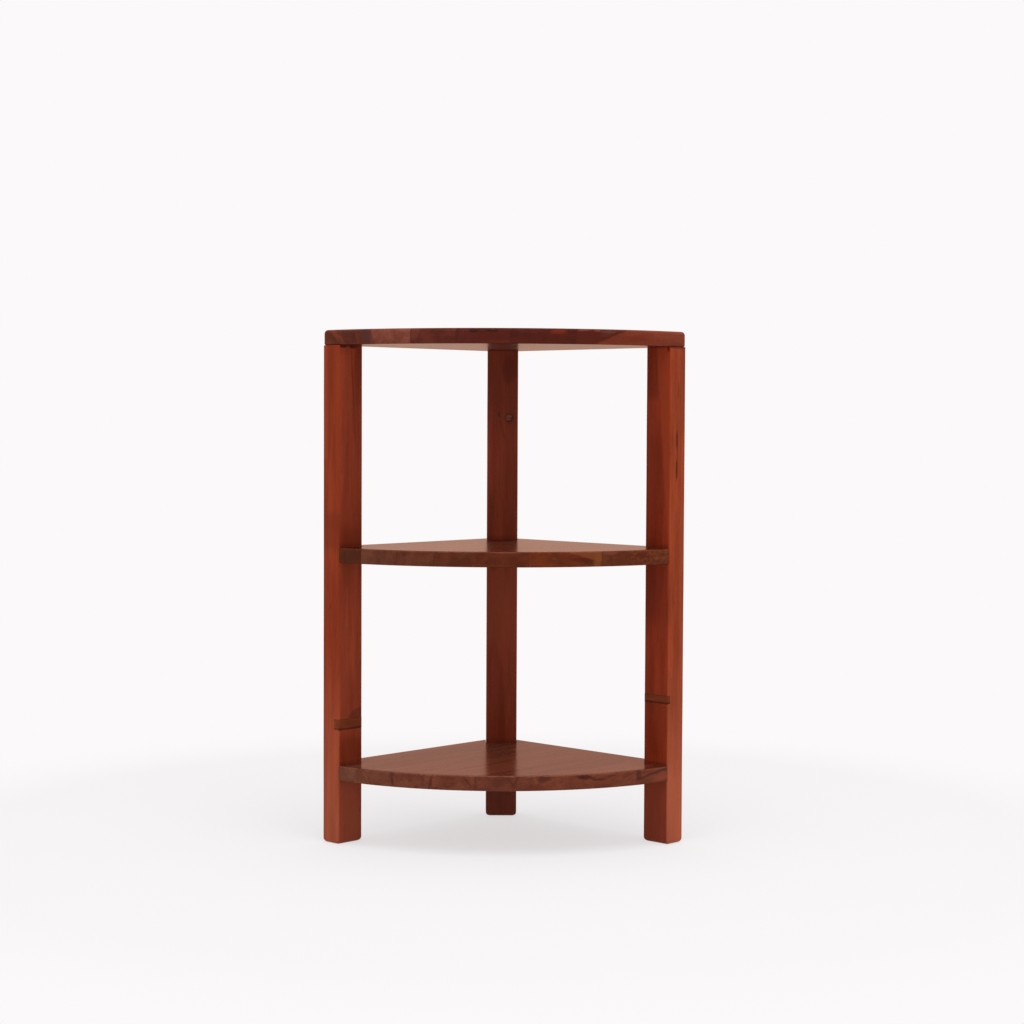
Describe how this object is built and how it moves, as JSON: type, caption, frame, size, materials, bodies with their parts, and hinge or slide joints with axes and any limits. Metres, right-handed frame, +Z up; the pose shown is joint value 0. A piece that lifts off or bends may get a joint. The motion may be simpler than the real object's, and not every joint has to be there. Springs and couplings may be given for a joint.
{
  "type": "corner storage rack",
  "caption": "Free-standing corner rack with a quarter-round top and quarter-round shelves on square-cut wooden posts.",
  "frame": {"origin": "on the floor, under the middle of the rack's bounding box; the room's corner line is at x 0, y 0.1525", "axes": "+Z up, +Y towards the room's corner, so the round side faces -Y, and +X to the right of someone who faces the rack"},
  "size_m": [0.4288, 0.305, 0.61],
  "materials": {
    "post_wood": "red-brown hardwood under a satin clear lacquer",
    "top_board_wood": "red-brown edge-glued hardwood under a glossy clear lacquer",
    "middle_board_wood": "red-brown edge-glued hardwood under a glossy clear lacquer",
    "bottom_board_wood": "red-brown edge-glued hardwood under a glossy clear lacquer",
    "filler_wood": "darker hardwood strip, lacquered",
    "plug_wood": "end grain, lacquered",
    "dowel_wood": "bare beech",
    "screw_steel": "zinc-plated"
  },
  "bodies": {
    "root": {"left_post": "post_wood", "right_post": "post_wood", "back_post": "post_wood", "top_stave_1": "top_board_wood", "top_stave_2": "top_board_wood", "top_stave_3": "top_board_wood", "top_stave_4": "top_board_wood", "top_stave_5": "top_board_wood", "top_stave_6": "top_board_wood", "top_stave_7": "top_board_wood", "middle_stave_1": "middle_board_wood", "middle_stave_2": "middle_board_wood", "middle_stave_3": "middle_board_wood", "middle_stave_4": "middle_board_wood", "middle_stave_5": "middle_board_wood", "middle_stave_6": "middle_board_wood", "middle_stave_7": "middle_board_wood", "bottom_stave_1": "bottom_board_wood", "bottom_stave_2": "bottom_board_wood", "bottom_stave_3": "bottom_board_wood", "bottom_stave_4": "bottom_board_wood", "bottom_stave_5": "bottom_board_wood", "bottom_stave_6": "bottom_board_wood", "left_filler": "filler_wood", "right_filler": "filler_wood", "post_plug": "plug_wood", "top_dowels": "dowel_wood", "shelf_screws": "screw_steel"}
  },
  "joints": []
}
